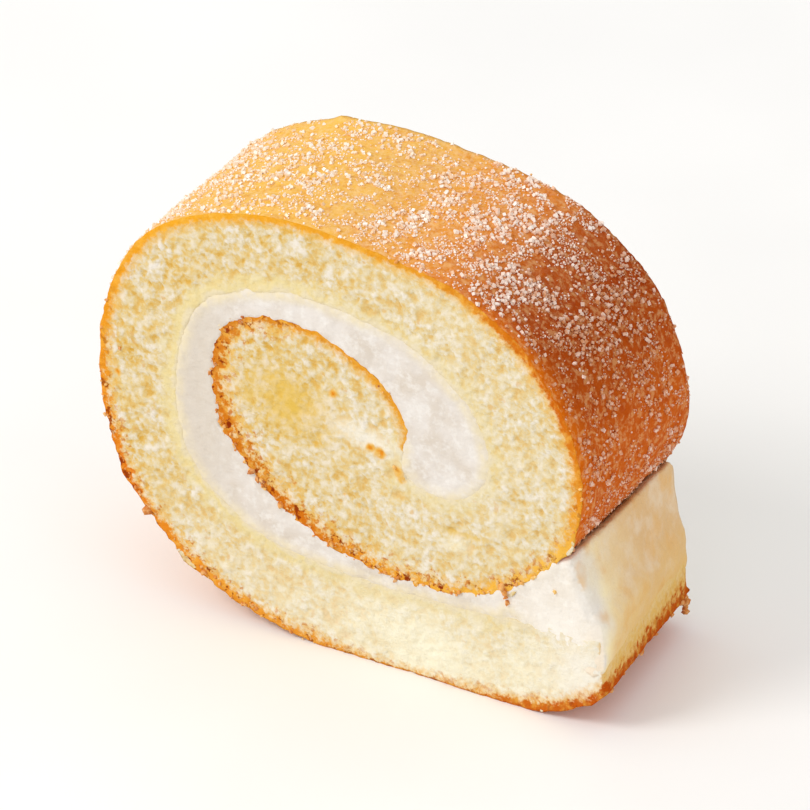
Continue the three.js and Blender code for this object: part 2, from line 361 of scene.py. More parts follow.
class Slab:
    """A closed mesh as thick as the slice: a wall round the outline and two cut faces, with shared vertices.

    Each point has its run and turn on the wall, and each triangle the kind of surface that it shows."""

    def __init__(self, outline, wall_relief, face_relief, pitches, edge_fade):
        """The reliefs are functions that give heights over the wall and over a cut face."""
        self.outline, self.wall_relief, self.face_relief = outline, wall_relief, face_relief
        self.edge_fade = edge_fade
        unrolled, wall, rings = self.unrolled_wall(*pitches[:2])
        total, run = len(unrolled), unrolled[:, 0]
        kinds = [outline.kind_at(run[wall].mean(axis=1))]
        meshes = [self.same[wall]]
        vertices = [np.c_[self.on_wall(run, unrolled[:, 1]), run, outline.at(run)[1]]]
        for side, ring, pitch in zip((-1, 1), rings, pitches[2:]):
            rim = vertices[0][ring][:, [0, 2]]
            inside = scattered(rim.min(axis=0), rim.max(axis=0), pitch)
            inside = inside[within(inside, rim)]
            inside = inside[nearest(inside, rim)[1] > CLEAR_OF_RIM * pitch]
            faces = triangulated(np.concatenate([rim, inside]), np.arange(len(rim)))
            index = np.concatenate([ring, total + np.arange(len(inside))])
            meshes.append(index[faces][:, ::-side])
            kinds.append(np.full(len(faces), CUT))
            y = side * (FACE + face_relief(inside, side))
            off_wall = np.full(len(inside), NOT_ON_WALL)
            vertices.append(np.c_[inside[:, 0], y, inside[:, 1], off_wall, np.zeros(len(inside))])
            total += len(inside)
        used, faces = np.unique(np.concatenate(meshes), return_inverse=True)
        self.faces, self.kinds = faces.reshape(-1, 3), np.concatenate(kinds)
        self.points, self.run, self.turn = np.split(np.concatenate(vertices)[used], [3, 4], axis=1)
        self.run, self.turn = self.run[:, 0], self.turn[:, 0]
        self.is_face = self.run == NOT_ON_WALL

    def unrolled_wall(self, pitch, coarse_pitch):
        """The wall laid flat, as run and y: its points, its triangles, and the rings of its front and back edges."""
        outline = self.outline
        count, length = len(outline.place), outline.length
        rows = np.arange(-FACE + pitch, FACE - pitch / 2, pitch)
        front = np.c_[outline.run, np.full(count + 1, -FACE)]
        left, right = (np.c_[np.full(len(rows), run), rows] for run in (0.0, length))
        edge = np.concatenate([front, right, front[::-1] * [1, -1], left[::-1]])
        inner = []
        for step, hidden in ((pitch, False), (coarse_pitch, True)):
            low, high = (step, -FACE + 0.6 * step), (length - step, FACE - 0.6 * step)
            points = scattered(low, high, step)
            inner.append(points[(outline.kind_at(points[:, 0]) == HIDDEN) == hidden])
        inner = np.concatenate(inner)
        run, y = inner.T
        inner = inner[(np.abs(y) < FACE - pitch / 2) & (run > pitch / 2) & (run < length - pitch / 2)]
        unrolled = np.concatenate([edge, inner])

        # The left edge of the unrolled wall is the right one again.
        self.same = same = np.arange(len(unrolled))
        back_start = count + 1 + len(rows)
        left_start = back_start + count + 1
        same[count] = 0
        same[back_start] = back_start + count
        same[count + 1:back_start] = left_start + np.arange(len(rows))[::-1]
        back = same[back_start + count - np.arange(count)]
        return unrolled, triangulated(unrolled, np.arange(len(edge))), (np.arange(count), back)

    def on_wall(self, run, y, stand=0.0):
        """Points of the wall at distances along the ring and places along Y, or standing out from it."""
        place, turn, lift, direction, out = self.outline.at(run)
        place = place + (lift * crust_relief(turn, y))[:, None] * direction
        place = place + (self.wall_relief(run, y, turn, self.outline.kind_at(run)) + stand)[:, None] * out
        x, z = settle(place[:, 0], place[:, 1], y)
        moved = np.zeros(len(x))
        for side in (-1, 1):
            inside = FACE - side * y
            near = inside < 5 * self.edge_fade
            relief = self.face_relief(np.c_[x, z][near], side)
            moved[near] = side * relief * np.exp(-inside[near] / self.edge_fade)
        return np.c_[x, y + moved, z]


# -------- materials


def rgb(red, green, blue):
    """A colour as the photograph shows it, 0 to 255, as Blender's linear values."""
    def linear(value):
        value /= 255
        return value / 12.92 if value <= 0.04045 else ((value + 0.055) / 1.055) ** 2.4
    return (linear(red), linear(green), linear(blue), 1.0)


class Surface:
    """A procedural material, put together from short calls. Sizes of patterns are in mm."""

    def __init__(self, name, **settings):
        self.material = bpy.data.materials.new(name)
        self.material.use_nodes = True
        self.nodes = self.material.node_tree.nodes
        self.links = self.material.node_tree.links
        self.shader = self.nodes["Principled BSDF"]
        for key, value in settings.items():
            self.shader.inputs[key.replace("_", " ")].default_value = value
        self.place = self.nodes.new("ShaderNodeTexCoord").outputs["Object"]

    def put(self, socket, value):
        """Gives a socket a number or a colour, or links it to another, or to the attribute of that name."""
        if isinstance(value, str):
            value = self.node("ShaderNodeAttribute", {}, "Fac", attribute_name=value)
        if isinstance(value, bpy.types.NodeSocket):
            self.links.new(value, socket)
        else:
            socket.default_value = value

    def node(self, kind, inputs, output=0, **settings):
        made = self.nodes.new(kind)
        for key, value in settings.items():
            setattr(made, key, value)
        for key, value in inputs.items():
            self.put(made.inputs[key], value)
        return made.outputs[output]

    def math(self, operation, a, b):
        return self.node("ShaderNodeMath", {0: a, 1: b}, operation=operation)

    def plus(self, a, b):
        return self.math("ADD", a, b)

    def times(self, a, b):
        return self.math("MULTIPLY", a, b)

    def band(self, value, low, high, to_low=0.0, to_high=1.0):
        """Goes smoothly from to_low to to_high as value goes from low to high."""
        inputs = {"Value": value, "From Min": low, "From Max": high, "To Min": to_low, "To Max": to_high}
        return self.node("ShaderNodeMapRange", inputs, interpolation_type="SMOOTHSTEP")

    def mix(self, factor, a, b):
        return self.node("ShaderNodeMix", {0: factor, 6: a, 7: b}, 2, data_type="RGBA")

    def mottle(self, base, colour, size, low, high, strength=1.0, detail=2.0, roughness=0.5):
        """Patches of another colour, where noise of that size goes from low to high."""
        patches = self.band(self.noise(size, detail, roughness), low, high, 0.0, strength)
        return self.mix(patches, base, colour)

    def noise(self, size, detail=2.0, roughness=0.5):
        inputs = {"Vector": self.place, "Scale": 1000 / size, "Detail": detail, "Roughness": roughness}
        return self.node("ShaderNodeTexNoise", inputs, "Fac")

    def ramp(self, value, stops, span=1.0):
        """A colour between stops, each a place from 0 to span and a colour as rgb takes it."""
        made = self.nodes.new("ShaderNodeValToRGB")
        elements = made.color_ramp.elements
        for k, (place, *colour) in enumerate(stops):
            element = elements[k] if k < 2 else elements.new(place / span)
            element.position, element.color = place / span, rgb(*colour)
        self.put(made.inputs["Fac"], self.math("DIVIDE", value, span))
        return made.outputs["Color"]

    def bump(self, height, distance, strength):
        inputs = {"Height": height, "Distance": distance * MM, "Strength": strength}
        return self.node("ShaderNodeBump", inputs, "Normal")

    def finish(self, colour, normal, roughness=None):
        for key, value in (("Base Color", colour), ("Normal", normal), ("Roughness", roughness)):
            if value is not None:
                self.put(self.shader.inputs[key], value)
        return self.material


TURN_SPAN = 700.0  # the turn angles that a colour ramp covers
# The dark stop at turn 342, where the crust ends over the filling's crevice, is painted shade; the other stops are
# the crust's own colour.
CRUST_COLOUR = [  # turn, colour of the bare crust
    (0, 200, 92, 20), (60, 214, 128, 40), (120, 224, 144, 50), (165, 236, 174, 68), (205, 240, 188, 80),
    (230, 237, 180, 80), (248, 232, 156, 56), (262, 220, 130, 42), (274, 182, 84, 18), (286, 168, 68, 10),
    (300, 178, 76, 10), (316, 202, 94, 16), (335, 204, 96, 16), (342, 130, 52, 10), (TURN_SPAN, 210, 124, 40),
]
RIM_COLOUR = [  # turn, colour of the crust's cut edge
    (0, 192, 82, 12), (60, 226, 150, 52), (100, 228, 144, 40), (120, 216, 112, 20), (150, 226, 144, 32),
    (190, 234, 164, 40), (250, 224, 150, 38), (282, 206, 110, 18), (300, 200, 98, 14), (325, 226, 146, 38),
    (338, 238, 184, 76), (360, 236, 178, 68), (400, 226, 148, 38), (435, 206, 112, 22), (480, 204, 114, 20),
    (540, 206, 122, 34), (580, 222, 148, 38), (640, 222, 152, 46), (TURN_SPAN, 224, 168, 80),
]
# Darker where the crumb lies low and paler where it stands high: partly the crumb's own tone, partly painted shade in
# the pores and painted highlight on the granules.
CRUMB_COLOUR = [  # how high the crumb stands, colour
    (0.0, 212, 164, 70), (0.3, 217, 188, 124), (0.58, 220, 205, 172), (0.9, 232, 223, 210),
]
FLAKE_COLOUR = [  # how brown a loose crumb is baked, colour
    (0.0, 250, 236, 200), (0.35, 244, 200, 116), (0.7, 222, 138, 54), (1.0, 168, 76, 22),
]
TOASTED = (0.8, 0.55, 0.4, 1.0)  # what darker patches multiply the crust's colour by


def sponge_material():
    """Crumb on the cuts, with the crust's edge round them, and baked, sugar-dusted crust on the outside."""
    s = Surface("sponge", Roughness=0.85, Specular_IOR_Level=0.03)

    # The crumb: pale granules, yellower between them, partly their own tone and partly painted highlight and painted
    # shade, a moist band beside the filling, and filling smeared over.
    flecks = s.band(s.noise(0.9, 3, 0.55), 0.3, 0.7, -0.28, 0.28)
    flecks = s.plus(flecks, s.band(s.noise(2.6), 0.3, 0.7, -0.14, 0.14))
    high = s.plus(s.times("height", 1.7), flecks)
    # Painted shade in the pores and painted highlight on the granules, on top of the crumb's own tone.
    crumb = s.ramp(s.plus(high, 0.6), CRUMB_COLOUR)
    crumb = s.mottle(crumb, rgb(226, 202, 144), 7.0, 0.35, 0.7, 0.3)
    crumb = s.mottle(crumb, rgb(212, 160, 84), 1.7, 0.66, 0.74, 0.55)
    # Paler low down and towards the right: painted bounce light from the table; on the raised lump, its own paler
    # crumb.
    crumb = s.mix("pale", crumb, rgb(245, 239, 214))
    near = s.plus("filling", s.band(s.noise(2.5), 0.3, 0.7, -0.7, 0.9))
    moist = s.times(s.band(near, 3.8, 1.4, 0.0, 0.85), "moist")
    crumb = s.mix(moist, crumb, rgb(228, 210, 154))
    crumb = s.mix(s.band(near, 1.4, 0.2, 0.0, 0.85), crumb, rgb(226, 212, 180))
    # The core's yellow stain, and painted shadow above the raised lump.
    crumb = s.mix("stain_and_lump_shadow", crumb, rgb(222, 184, 84))
    crumb = s.mix("smear", crumb, rgb(240, 233, 218))
    crumb = s.mix("end", crumb, rgb(238, 196, 112))
    crumb = s.mix(s.band("blot", 0.1, 0.6), crumb, rgb(228, 178, 88))
    crumb = s.mix(s.band("blot", 0.5, 0.9), crumb, rgb(222, 138, 34))

    # The crust's edge on the cut, ragged, with dark toasted specks where it is coarse.
    spread = s.plus(0.4, s.times("char", 0.45))
    ragged = s.times(s.band(s.noise(0.9, 3, 0.65), 0.25, 0.75, -1.0, 1.0), spread)
    reached = s.plus(s.math("DIVIDE", "depth", "rim"), ragged)
    rim = s.mottle(s.ramp("turn", RIM_COLOUR, TURN_SPAN), rgb(240, 188, 84), 1.3, 0.42, 0.72, 0.55, 3, 0.6)
    dark = s.times(s.band(s.noise(1.4, 3, 0.6), 0.55, 0.63), "char")
    rim = s.mix(dark, rim, rgb(138, 46, 10))
    speck = s.times(s.band(s.noise(1.1, 3, 0.6), 0.56, 0.64), s.band(reached, 3.0, 1.4, 0.0, 0.85))
    cut = s.mix(s.band(reached, 2.6, 0.8, 0.0, 0.7), crumb, rgb(228, 176, 82))
    cut = s.mix(s.times(speck, "char"), cut, rgb(198, 112, 30))
    cut = s.mix(s.band(reached, 1.3, 0.55), cut, rim)

    # The baked side.
    crust = s.mix("brink", s.ramp("turn", CRUST_COLOUR, TURN_SPAN), rgb(222, 112, 10))
    darker = s.node("ShaderNodeMix", {0: 1.0, 6: crust, 7: TOASTED}, 2, data_type="RGBA", blend_type="MULTIPLY")
    lighter = s.mix(0.38, crust, rgb(250, 212, 146))
    crust = s.mottle(crust, darker, 3.0, 0.42, 0.75, 0.7, 4, 0.7)
    crust = s.mottle(crust, darker, 1.4, 0.52, 0.68, 0.6, 4, 0.7)
    crust = s.mottle(crust, lighter, 1.0, 0.46, 0.66, 0.75, 3, 0.65)
    dust = s.times(s.band(s.noise(0.6, 4, 0.7), 0.4, 0.62), "haze")
    crust = s.mix(dust, crust, rgb(244, 216, 180))

    grain = s.node("ShaderNodeTexVoronoi", {"Vector": s.place, "Scale": 1000 / 0.8}, "Distance")
    fine = s.plus(s.noise(0.45, 3, 0.65), s.times(grain, 0.35))
    bumps = {0: "cut", 4: s.bump(s.noise(0.8, 4, 0.65), 0.22, 0.8), 5: s.bump(fine, 0.26, 0.8)}
    normal = s.node("ShaderNodeMix", bumps, 1, data_type="VECTOR")
    return s.finish(s.mix("cut", crust, cut), normal, s.band("cut", 0, 1, 0.6, 0.92))


def cream_material():
    """White on the cuts, with painted shade to the left and painted light low on the right; the side left open pale
    yellow, browner behind, with crumbs along its foot and painted shadow under the crust.
    """
    s = Surface("cream", Roughness=0.55)
    base = s.mottle(rgb(222, 214, 206), rgb(210, 198, 184), 5.0, 0.35, 0.7)
    base = s.mottle(base, rgb(234, 229, 223), 1.2, 0.45, 0.7, 0.6, 3, 0.6)
    # Painted shade: the cream greyer towards the left of the cuts.
    base = s.mix("left_shade", base, rgb(206, 194, 178))
    # Painted light: the cream whiter towards the right of the front cut, most low down.
    base = s.mix("bright", base, rgb(250, 243, 230))
    soaked = s.times("edge", s.band(s.noise(1.8, 3, 0.6), 0.3, 0.7, 0.3, 1.0))
    base = s.mix(soaked, base, rgb(228, 213, 178))
    side = s.mix("behind", rgb(255, 240, 190), rgb(225, 184, 126))
    side = s.mottle(side, rgb(240, 226, 204), 4.0, 0.4, 0.75, 0.5, 3, 0.6)
    base = s.mix("open", base, side)
    base = s.mix("low", base, rgb(234, 188, 98))
    base = s.mix("crumbs", base, rgb(230, 174, 84))
    # Painted shadow in the crevice under the crust's lip, brown and ragged.
    shade = s.times("lip_shadow", s.band(s.noise(0.9, 3, 0.6), 0.3, 0.6))
    base = s.mix(shade, base, rgb(128, 62, 22))
    height = s.plus(s.noise(1.6, 3), s.times(s.noise(0.5), 0.3))
    return s.finish(base, s.bump(height, 0.4, 0.7))


def sugar_material():
    """White grains, and clear ones that take the colour of the crust behind them."""
    s = Surface("sugar", Roughness=0.25, IOR=1.54)
    behind = s.ramp("turn", CRUST_COLOUR, TURN_SPAN)
    behind = s.mix(0.35, behind, rgb(238, 180, 104))
    colour = s.mix("clear", rgb(253, 246, 238), behind)
    colour = s.mottle(colour, rgb(250, 238, 224), 0.5, 0.35, 0.65, 0.2)
    return s.finish(colour, s.bump(s.noise(0.3), 0.03, 0.4))


def crumbs_material():
    s = Surface("crumbs", Roughness=0.85)
    colour = s.mottle(s.ramp("bake", FLAKE_COLOUR), rgb(250, 214, 150), 0.5, 0.4, 0.7, 0.5, 3, 0.6)
    return s.finish(colour, s.bump(s.noise(0.4, 3, 0.6), 0.15, 0.8))


# -------- the sponge

SPONGE_PITCHES = (0.47, 3.0, 0.38, 0.43)  # of the wall, its hidden parts, the front and the back
SEAM = [(8.3, 33.4), (2.0, 35.0), (-9.4, 37.5)]  # where the sheet's tip folds on itself
SEAM_DEPTH, SEAM_WIDTH = 0.14, 0.5
STAIN = (-10.6, 38.0), (6.8, 4.4), 0.9, 20  # place, size, strength, lean
CORE_SMEAR = (2.5, 35.9), (5.2, 1.6), 0.8, 12
FLAP_SMEAR = (38.0, 8.0), (6.0, 7.5), 0.9
LUMP = (16.8, 23.0), (3.0, 1.3), 0.7  # a flake of crumb standing out of the cut
# LUMP_SHADE: a slight hollow above the lump, also painted darker as its shadow.
LUMP_SHADE = (17.2, 25.0), (3.2, 0.5), 0.7
LUMP_HEIGHT, LUMP_SHADE_DEPTH = 0.5, 0.2
BLOTS = [  # x, z, radius: scraps of toasted crust pressed into the cut
    (4.6, 34.1, 0.9), (3.2, 34.6, 0.7), (7.6, 31.9, 0.9), (8.2, 31.0, 0.7), (-2.8, 41.4, 0.7),
    (29.3, 21.2, 0.8), (31.0, 20.7, 0.6), (27.4, 19.8, 0.7), (-1.0, 25.8, 0.4), (-37.2, 34.4, 0.6),
]
PORES = [(2.7, 0.08, 0.26, 50), (1.5, 0.25, 0.2, 54), (0.95, 0.4, 0.15, 58)]  # pitch, share, depth, seed
GRANULES = [(1.0, 0.12, 62), (0.62, 0.06, 66)]  # pitch, height, seed
RIM_WIDTH = [  # turn, how wide the crust's edge shows on the cut
    (0, 1.2), (60, 1.1), (110, 1.2), (150, 1.2), (200, 1.0), (260, 1.0), (290, 1.3), (320, 1.3), (340, 1.1),
    (365, 1.3), (400, 1.5), (440, 1.8), (490, 2.2), (545, 1.6), (590, 1.1), (650, 1.1), (667, 0.8),
]
END_RIM_WIDTH = 2.0  # and on the loose end
EDGE_COARSE = [  # turn, how coarse and toasted that edge is
    (0, 0.5), (60, 0.7), (100, 1.0), (140, 0.8), (165, 0.25), (220, 0.1), (310, 0.2), (340, 0.8), (380, 1.0),
    (440, 0.9), (500, 1.0), (550, 0.9), (580, 0.3),
]
HAZE = [  # turn, how much fine sugar clouds the crust
    (0, 0.0), (90, 0.1), (130, 0.4), (165, 0.6), (190, 0.3), (215, 0.15), (232, 0.32), (250, 0.26), (272, 0.06),
    (290, 0.0),
]
FILLING_DIP, FILLING_DIP_WIDTH = 0.25, 0.35  # the crumb falls back a little where the filling laps over it
LOOSE_DIP, LOOSE_DIP_WIDTH = 0.35, 0.9  # and more on the loose end, by so much
LOOSE_END = (32, 36)  # x, where the loose end starts and where it is wholly so
ROUND_DEPTH, ROUND_WIDTH = 0.4, 0.9  # how the corner between a cut face and the loose end's side is worn off
BROWN_FRONT = (245, 285)  # turn angles over which the crust's front edge gets its deeper orange and loses its sugar

ring = sponge_outline()
on_crust = np.flatnonzero((ring.lift == 1) & (ring.turn > 0) | (np.arange(len(ring.turn)) == 0))
on_filling = np.flatnonzero((ring.kind == HIDDEN) & (ring.lift < 0.98))


def by_table(turn, table):
    return np.interp(turn, *zip(*table))


def coarse_edge(turn):
    return by_table(turn, EDGE_COARSE)


def blob(points, place, size, strength, lean=0.0):
    """A soft oval spot, 0 to strength, its long side leaning down to the right by so many degrees."""
    away = points - place
    c, s = math.cos(math.radians(lean)), math.sin(math.radians(lean))
    u, v = c * away[:, 0] - s * away[:, 1], s * away[:, 0] + c * away[:, 1]
    ragged = 1 + 0.35 * patchy(points, 2.2, 61)
    return np.clip(strength * ragged * np.exp(-(u / size[0]) ** 2 - (v / size[1]) ** 2), 0, 1)


def blots(points):
    found = np.zeros(len(points))
    ragged = 1 + 0.5 * patchy(points, 0.7, 65, 2)
    for x, z, radius in BLOTS:
        away = np.linalg.norm(points - (x, z), axis=1)
        found = np.maximum(found, 0.85 * ragged * np.exp(-(away / radius) ** 2))
    return np.clip(found, 0, 1)


def smears(points):
    return np.clip(blob(points, *CORE_SMEAR) + blob(points, *FLAP_SMEAR), 0, 1)


def crumb_fields(points):
    """Depth below the crust, the turn of the crust there, and distance from the filling, on a cut face."""
    index, away = nearest(points, ring.place[on_crust])
    station = on_crust[index]
    straight = -((points - ring.place[station]) * ring.out[station]).sum(axis=1)
    depth = np.where(away < 2, np.maximum(straight, 0), away)
    depth = np.where(straight < -0.3, FAR, depth)  # that crust belongs to the next turn, across the filling
    _, filling = nearest(points, ring.place[on_filling])
    return depth, ring.turn[station], filling


def crumb_height(points, side):
    """The open crumb's height at each point of a cut face, mm: small rounded granules with pores between."""
    u, v = (points[:, k] + 0.3 * patchy(points, 1.3, seed + side) for k, seed in ((0, 31), (1, 41)))
    high = np.zeros(len(points))
    for pitch, height, seed in GRANULES:
        away, owner = cells(u / pitch, v / pitch, seed + side)
        high += height * (0.4 + 0.6 * owner) * (1 - smoothstep(away, 0.1, 0.65))
    high += 0.07 * patchy(points, 1.8, 21 + side, 2) - 0.1
    deep = np.zeros(len(points))
    for pitch, share, hole, seed in PORES:
        away, owner = cells(u / pitch, v / pitch, seed + side)
        deep = np.maximum(deep, hole * (owner < share) * (1 - smoothstep(away, 0.1, 0.48)))
    return high - deep


def softened(points, depth, filling):
    """How open the crumb is: less under a smear, beside the filling, and at the crust."""
    smooth = (1 - 0.85 * smears(points)) * (0.3 + 0.7 * smoothstep(filling, 0.3, 2.4))
    return smooth * (0.35 + 0.65 * smoothstep(depth, 0.3, 1.2))


def rounded(points, side_line):
    """How far a cut face falls back at each point, next to the side that side_line follows."""
    return ROUND_DEPTH * np.exp(-((nearest(points, side_line)[1] / ROUND_WIDTH) ** 2))


def edge_round(y):
    """How far that side falls back next to the cut faces."""
    return ROUND_DEPTH * np.exp(-(((FACE - np.abs(y)) / ROUND_WIDTH) ** 2))


def sponge_face(points, side):
    """The cut face's relief: crumb, a firm crust edge, and the fold of the sheet's tip."""
    depth, turn, filling = crumb_fields(points)
    x, z = points.T
    inside = smoothstep(depth, 0.3, 1.2)
    relief = 0.1 * patchy(points, 5, 11 + side, 2)
    relief += softened(points, depth, filling) * crumb_height(points, side)
    relief += 0.14 * coarse_edge(turn) * (1 - inside) * noise(x / 0.8, z / 0.8, 71 + side)
    relief += 0.12 * inside * smoothstep(patchy(points, 3.2, 75 + side), 0.15, 0.45) - 0.03
    loose = smoothstep(x, *LOOSE_END)
    under = 1 - smoothstep(filling, 0.0, FILLING_DIP_WIDTH + LOOSE_DIP_WIDTH * loose)
    relief -= (FILLING_DIP + LOOSE_DIP * loose) * under
    relief += LUMP_HEIGHT * (side < 0) * blob(points, *LUMP)
    relief -= LUMP_SHADE_DEPTH * blob(points, *LUMP_SHADE)
    relief -= rounded(points, ring.place[ring.kind == CUT])
    for a, b in zip(np.array(SEAM), np.array(SEAM[1:])):
        t = np.clip(((points - a) @ (b - a)) / ((b - a) @ (b - a)), 0, 1)
        away = np.linalg.norm(points - a - t[:, None] * (b - a), axis=1)
        relief -= SEAM_DEPTH * np.exp(-(away / SEAM_WIDTH) ** 2)
    return relief


def sponge_wall(run, y, turn, kind):
    """Fine relief on top of the CAD part's: leathery wrinkles on the crust, drag marks on the flap's cut end."""
    wall = np.c_[run, y]
    edge = np.exp(-(FACE - np.abs(y)) / 0.7)
    wrinkled = 0.05 * patchy(wall, 1.6, 81) + 0.035 * patchy(wall, 0.7, 83, 2)
    wrinkled = wrinkled + 0.22 * coarse_edge(turn) * edge * noise(run / 1.1, y / 0.9, 85)
    dragged = 0.1 * patchy(wall, (3.5, 7), 87, 2) + 0.03 * patchy(wall, (0.8, 1.4), 89, 2) - edge_round(y)
    return np.where(kind == CRUST, wrinkled, np.where(kind == CUT, dragged, 0.0))


def sponge_looks(slab):
    """Numbers that the sponge's material reads, for each vertex, and for each triangle whether it is crumb."""
    flat = slab.points[:, [0, 2]]
    x, z = flat.T
    wall = ~slab.is_face
    kind = ring.kind_at(slab.run)
    flap_end, baked = wall & (kind == CUT), wall & (kind == CRUST)
    front = slab.points[:, 1] < 0
    from_front = FACE + slab.points[:, 1]

    depth, turn, filling = crumb_fields(flat)
    height = np.where(front, crumb_height(flat, -1), crumb_height(flat, 1)) * softened(flat, depth, filling)
    height = np.where(wall & (np.abs(slab.points[:, 1]) <= FACE - 0.9), 0.0, height)
    depth = np.where(baked, 0.0, np.where(flap_end, ring.length - slab.run, depth))
    turn = np.where(wall & ~flap_end, slab.turn, turn)
    filling = np.where(flap_end, slab.run - ring.run[np.flatnonzero(ring.stretch == CUT)[0]], filling)

    end_smear = np.maximum(0.3 - 0.3 * smoothstep(filling, 1, 8), 0.85 - 0.85 * smoothstep(from_front, 0.5, 5))
    toasted = np.clip(coarse_edge(turn) * 1.2 - 0.2, 0, 1) * (depth < 6)
    # Painted bounce light: the cuts paler towards the bottom and the right; the lump's paler crumb is its own.
    bright = np.maximum((0.4 + 0.5 * smoothstep(x, -20, 10)) * (1 - smoothstep(z, 2, 24)),
                        0.15 * smoothstep(x, -12, 14))
    bright = np.maximum(bright, blob(flat, *LUMP))
    inner_start = ring.run[np.flatnonzero(ring.lift < 0.5)[0]]
    crumb_wall = (slab.kinds == HIDDEN) & (slab.run[slab.faces].mean(axis=1) > inner_start)
    return {
        "depth": depth,
        "turn": turn,
        "filling": filling,
        "height": height,
        "rim": np.where(flap_end, END_RIM_WIDTH, by_table(turn, RIM_WIDTH)),
        "char": np.where(flap_end, 0.3, toasted),
        "moist": (1 - 0.5 * smoothstep(x, -12, 4)) * (1 - smoothstep(x, 22, 32)) * slab.is_face,
        # painted bounce light low on the cuts, and the lump's own paler crumb
        "pale": bright * (0.85 + 0.2 * patchy(flat, 5, 131)) * slab.is_face,
        "smear": np.where(flap_end, end_smear, smears(flat)),
        # the core's stain, and painted shadow above the lump
        "stain_and_lump_shadow": (blob(flat, *STAIN) + blob(flat, *LUMP_SHADE)) * slab.is_face,
        "end": flap_end * 0.75,
        "blot": blots(flat) * slab.is_face * front,
        "haze": by_table(slab.turn, HAZE),
        "brink": 0.85 * baked * np.exp(-((from_front / 2.4) ** 2)) * smoothstep(slab.turn, *BROWN_FRONT),
    }, {"cut": (slab.kinds == CUT) | crumb_wall}


slab = Slab(ring, sponge_wall, sponge_face, SPONGE_PITCHES, edge_fade=0.7)
sponge = triangle_mesh("cake_sponge", slab.points, slab.faces, sponge_material(), True, *sponge_looks(slab))
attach(sponge, "root")
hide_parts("sponge")

# -------- the filling

CREAM_PITCHES = (0.5, 3.0, 0.4, 0.4)
EDGE_DIP = 0.45  # the filling's very edge lies this far under the crumb, so that the two cross at a slope
CORNER_DIP = 0.15  # of it is left at the loose end's corner, where the filling is drawn over the crumb
LIP_DEPTH, LIP_WIDTH = 0.7, 0.8  # the crevice where the filling comes out from under the crust

cream_ring = cream_outline()
cream_open = cream_ring.place[cream_ring.kind == SPREAD]
top_run, low_run = cream_ring.run[np.flatnonzero(cream_ring.stretch == SPREAD)[[0, -1]]]  # of the side left open


def cream_face(points, side):
    """Long soft smears, as the knife left them, level with the crumb near the filling's edges."""
    x, z = points.T
    index, away = nearest(points, cream_ring.place)
    lap = np.where(cream_ring.lift[index] < 0.5, INNER_LAP, CREAM_LAP)
    inside = smoothstep(away, lap - 0.4, lap + 1.4)
    relief = 0.1 * patchy(points, 5, 11 + side, 2) + 0.1 - 0.08 * inside
    relief -= rounded(points, cream_open)
    wide = smoothstep(x, 28, 33) * (z < 17)  # the filling thins out slowly over the loose end
    corner = smoothstep(x, 35.5, 37.5) * (1 - smoothstep(z, 11, 14))
    ragged = away + 0.22 * patchy(points, 1.3, 97 + side, 2)
    sunk = 1 - smoothstep(ragged, (lap - 1.0) * (1 - wide), lap + 0.3 + 1.5 * wide)
    relief -= EDGE_DIP * (1 - (1 - CORNER_DIP) * corner) * sunk
    smear = 0.14 * noise(x / 7, z / 7, 5 + side) - 0.05 + 0.09 * patchy(points, (1.9, 3.2), 91 + side, 2)
    return relief + inside * smear + 0.03 * patchy(points, (0.8, 1.3), 95 + side, 2)


def cream_wall(run, y, turn, kind):
    wall = np.c_[run, y]
    spread = 0.13 * patchy(wall, (4, 6), 101, 2) + 0.04 * patchy(wall, (1.2, 2), 103, 2)
    groove = LIP_DEPTH * np.exp(-np.maximum(run - top_run, 0) / LIP_WIDTH)
    spread = spread - groove - edge_round(y) * smoothstep(np.minimum(run - top_run, low_run - run), 1.0, 3.5)
    return np.where(kind == SPREAD, spread, 0.0)


def cream_looks(slab):
    """What the filling's material reads at each vertex."""
    x, y, z = slab.points.T
    beside = slab.points[:, 1:]
    from_front = FACE + y
    open_side = ~slab.is_face & (cream_ring.kind_at(slab.run) == SPREAD)
    behind = smoothstep(y + 2.5 * patchy(beside, 6, 117, 2), -15, 2)
    low = 1 - smoothstep(z + 1.2 * patchy(beside, 3, 119, 2), 10, 19)
    ragged = from_front + 1.6 * patchy(beside, 3, 113, 2)
    inner_edge = cream_ring.place[(cream_ring.kind == HIDDEN) & (cream_ring.lift < 0.5)]
    soaked = 1 - smoothstep(nearest(slab.points[:, [0, 2]], inner_edge)[1], INNER_LAP - 0.1, INNER_LAP + 1.9)
    return {
        "crumbs": 0.5 * smoothstep(patchy(beside, 3, 111), 0.1, 0.9) * open_side,
        "open": open_side * smoothstep(ragged, -1.0, 1.0 + 6.0 * smoothstep(z, 9, 20)),
        # painted light on the front cut, low and to the right
        "bright": smoothstep(x, 14, 34) * (0.65 - 0.2 * smoothstep(z, 12, 20)) * (y < 0),
        "behind": behind,
        # painted shadow in the crevice under the crust
        "lip_shadow": open_side * np.exp(-((slab.run - top_run) / 1.3) ** 2),
        "low": low * np.where(open_side, (0.5 + 0.4 * behind) * smoothstep(from_front, -0.5, 5),
                              0.25 * smoothstep(x, 36, 38)),
        "edge": soaked * slab.is_face * (1 - smoothstep(x, 22, 32)),
        # painted shade towards the left
        "left_shade": 0.75 * smoothstep(-x, 16, 24) * slab.is_face,
    }


cream_slab = Slab(cream_ring, cream_wall, cream_face, CREAM_PITCHES, edge_fade=0.8)
cream = triangle_mesh("cake_filling", cream_slab.points, cream_slab.faces, cream_material(), True,
                      cream_looks(cream_slab))
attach(cream, "root")
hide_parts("cream")

# -------- sugar and crumbs

